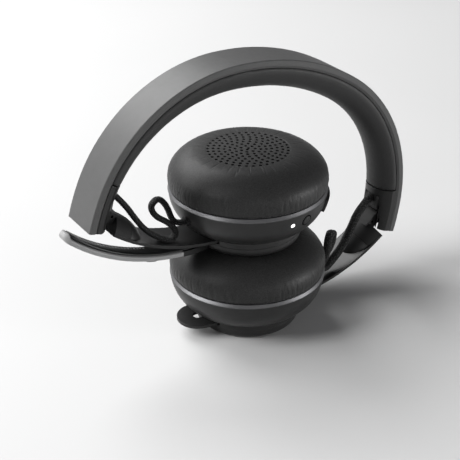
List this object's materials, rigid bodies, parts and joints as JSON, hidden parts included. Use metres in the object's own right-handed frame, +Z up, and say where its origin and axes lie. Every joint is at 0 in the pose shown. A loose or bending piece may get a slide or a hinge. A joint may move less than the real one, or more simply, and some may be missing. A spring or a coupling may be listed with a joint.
{
  "type": "wireless headset",
  "caption": "Folded on-ear wireless headset: arched headband, pivoting arms, stacked padded ear cups and a swivelling microphone boom.",
  "frame": {"origin": "centre of the lower ear cup's outer cap, on the face the folded headset stands on", "axes": "+X along the headband's arch, from the cup with the boom towards the plain cup's arm; +Y away from the side with the controls; +Z up along the ear cups' common axis"},
  "size_m": [0.1599, 0.0674, 0.1168],
  "materials": {
    "band_graphite": "satin",
    "gloss_black": "semi-gloss",
    "arm_graphite": "satin",
    "cup_graphite": "satin",
    "inner_black": "matt",
    "button_black": "satin",
    "boom_satin": "satin",
    "boom_rubber": "matt",
    "rubber_black": "matt",
    "leatherette": "soft sheen",
    "cord_braid": "woven",
    "lead_jacket": "matt",
    "rim_metal": "polished chamfer",
    "steel": "bright",
    "spring_steel": "blued",
    "driver_steel": "plated",
    "diaphragm_film": "clear film",
    "copper_coil": "enamelled wire",
    "ferrite": "sintered",
    "cell_foil": "foil",
    "board_laminate": "solder mask",
    "led_lens": "translucent"
  },
  "bodies": {
    "headband": {"band_outer_shell": "band_graphite", "band_spring_strip": "spring_steel", "band_ribbon_lead": "lead_jacket", "band_pad": "leatherette", "end_cover_right": "gloss_black", "end_cover_left": "gloss_black"},
    "slider_right": {"slider_right": "steel", "hinge_pin_right": "steel"},
    "slider_left": {"slider_left": "steel", "hinge_pin_left": "steel"},
    "arm_right": {"arm_plate_right": "arm_graphite", "arm_cover_right": "gloss_black", "hinge_block_right": "gloss_black", "rocker_saddle_right": "steel", "saddle_rivet_right": "steel", "cord_right": "cord_braid"},
    "arm_left": {"arm_plate_left": "arm_graphite", "arm_cover_left": "gloss_black", "hinge_block_left": "gloss_black", "rocker_saddle_left": "steel", "saddle_rivet_left": "steel", "cord_left": "cord_braid"},
    "cup_right": {"hub_ring_right": "cup_graphite", "cup_shell_right": "cup_graphite", "cord_gland_right": "rubber_black", "rim_ring_right": "rim_metal", "baffle_right": "inner_black", "speaker_driver_right": "driver_steel", "diaphragm_right": "diaphragm_film", "cushion_right": "leatherette", "speaker_scrim_right": "leatherette", "pivot_cage_right": "inner_black", "tilt_pin_right": "steel", "outer_cap_right": "cup_graphite", "charge_coil": "copper_coil", "coil_ferrite": "ferrite", "battery_cell": "cell_foil"},
    "cup_left": {"hub_ring_left": "cup_graphite", "cup_shell_left": "cup_graphite", "cord_gland_left": "rubber_black", "rim_ring_left": "rim_metal", "baffle_left": "inner_black", "speaker_driver_left": "driver_steel", "diaphragm_left": "diaphragm_film", "cushion_left": "leatherette", "speaker_scrim_left": "leatherette", "pivot_cage_left": "inner_black", "tilt_pin_left": "steel", "circuit_board": "board_laminate", "power_switch": "inner_black", "led_window": "led_lens", "charge_socket": "driver_steel"},
    "boom": {"boom_hub": "cup_graphite", "boom_retainer": "steel", "boom_root": "inner_black", "boom_shell": "boom_satin", "boom_inlay": "boom_rubber", "mic_capsules": "driver_steel"},
    "power_button": {"power_button": "button_black"},
    "volume_rocker": {"volume_rocker": "button_black"}
  },
  "joints": [
    {"name": "right_extend", "type": "slide", "parent": "headband", "child": "slider_right", "axis": [-0.2713, 0, -0.9625], "range_m": [0, 0.01], "deforming": ["cord_right", "cord_left", "cushion_right", "speaker_scrim_right"]},
    {"name": "left_extend", "type": "slide", "parent": "headband", "child": "slider_left", "axis": [-0.2713, 0, -0.9625], "range_m": [0, 0.01], "deforming": ["cord_right", "cord_left", "cushion_right", "speaker_scrim_right"]},
    {"name": "right_fold", "type": "hinge", "parent": "slider_right", "child": "arm_right", "pos_m": [0.06843, 0, 0.03], "axis": [0, -1, 0], "range_deg": [0, 36], "deforming": ["cord_right", "cord_left", "cushion_right", "speaker_scrim_right"]},
    {"name": "left_fold", "type": "hinge", "parent": "slider_left", "child": "arm_left", "pos_m": [-0.06843, 0, 0.06857], "axis": [0, 1, 0], "range_deg": [-8, 0], "deforming": ["cord_right", "cord_left", "cushion_right", "speaker_scrim_right"]},
    {"name": "right_tilt", "type": "hinge", "parent": "arm_right", "child": "cup_right", "pos_m": [0, 0, 0.0132], "axis": [1, 0, 0], "range_deg": [-4, 4], "deforming": ["cord_right", "cord_left", "cushion_right", "speaker_scrim_right"]},
    {"name": "left_tilt", "type": "hinge", "parent": "arm_left", "child": "cup_left", "pos_m": [0, 0, 0.05177], "axis": [1, 0, 0], "range_deg": [-4, 4], "deforming": ["cord_left", "cord_right", "cushion_right", "speaker_scrim_right"]},
    {"name": "boom_swing", "type": "hinge", "parent": "cup_left", "child": "boom", "pos_m": [0, 0, 0.0405], "axis": [0, 0, 1], "range_deg": [-135, 135]},
    {"name": "power_press", "type": "slide", "parent": "cup_left", "child": "power_button", "axis": [-0.2166, 0.938, 0.2706], "range_m": [0, 0.0004], "stiffness_N_per_m": 600, "springref_m": -0.0005},
    {"name": "volume_rock", "type": "hinge", "parent": "cup_left", "child": "volume_rocker", "pos_m": [0.02424, -0.01894, 0.05607], "axis": [0.2364, -0.1847, 0.9539], "range_deg": [-3, 3], "stiffness_Nm_per_rad": 0.02}
  ],
  "couplings": [
    {"joint": "left_extend", "follows": "right_extend", "ratio": 1}
  ]
}
